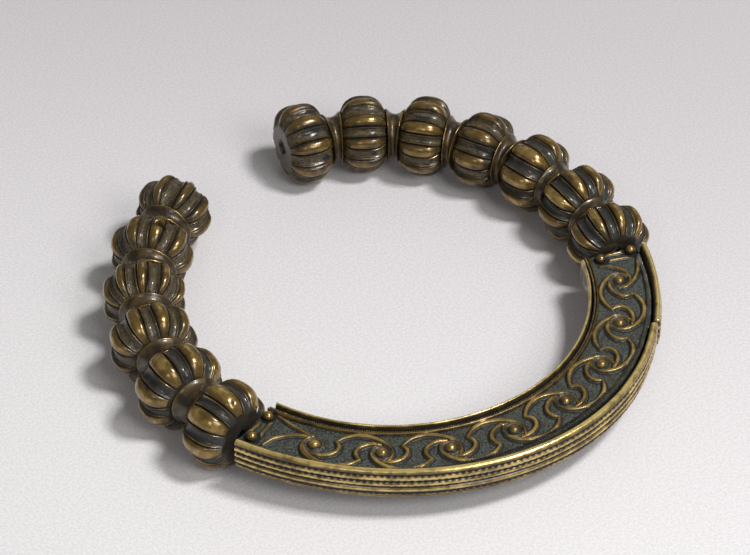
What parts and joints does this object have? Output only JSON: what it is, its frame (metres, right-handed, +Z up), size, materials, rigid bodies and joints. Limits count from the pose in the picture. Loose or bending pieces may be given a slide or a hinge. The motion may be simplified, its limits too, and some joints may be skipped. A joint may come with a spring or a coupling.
{
  "type": "beaded neck ring",
  "caption": "Penannular neck ring: a curved bar with a riveted scroll-pattern plate and two arms of ribbed melon beads separated by spool-shaped collars, lying flat.",
  "frame": {"origin": "centre of the bounding box on the floor that the ring lies on", "axes": "+Z up, +Y from the bar towards the opening between the two arms, +X towards the longer arm of beads"},
  "size_m": [0.1732, 0.1758, 0.0259],
  "materials": {
    "bar_brass": "worn cast brass, dark patina in the grooves",
    "plate_brass": "dark grey-green ground with worn brass lines",
    "rivet_brass": "brown patina, bright worn top",
    "bead_brass": "worn brass ribs, dark brown-green channels",
    "collar_brass": "dark brown-grey patina with worn rims"
  },
  "bodies": {
    "root": {"curved_bar": "bar_brass", "scroll_plate": "plate_brass", "rivet_left_outer": "rivet_brass", "rivet_left_inner": "rivet_brass", "rivet_right_outer": "rivet_brass", "rivet_right_inner": "rivet_brass", "bead_left_1": "bead_brass", "bead_left_2": "bead_brass", "bead_left_3": "bead_brass", "bead_left_4": "bead_brass", "bead_left_5": "bead_brass", "bead_left_6": "bead_brass", "bead_right_1": "bead_brass", "bead_right_2": "bead_brass", "bead_right_3": "bead_brass", "bead_right_4": "bead_brass", "bead_right_5": "bead_brass", "bead_right_6": "bead_brass", "bead_right_7": "bead_brass", "collar_left_1": "collar_brass", "collar_left_2": "collar_brass", "collar_left_3": "collar_brass", "collar_left_4": "collar_brass", "collar_left_5": "collar_brass", "collar_right_1": "collar_brass", "collar_right_2": "collar_brass", "collar_right_3": "collar_brass", "collar_right_4": "collar_brass", "collar_right_5": "collar_brass", "collar_right_6": "collar_brass"}
  },
  "joints": []
}
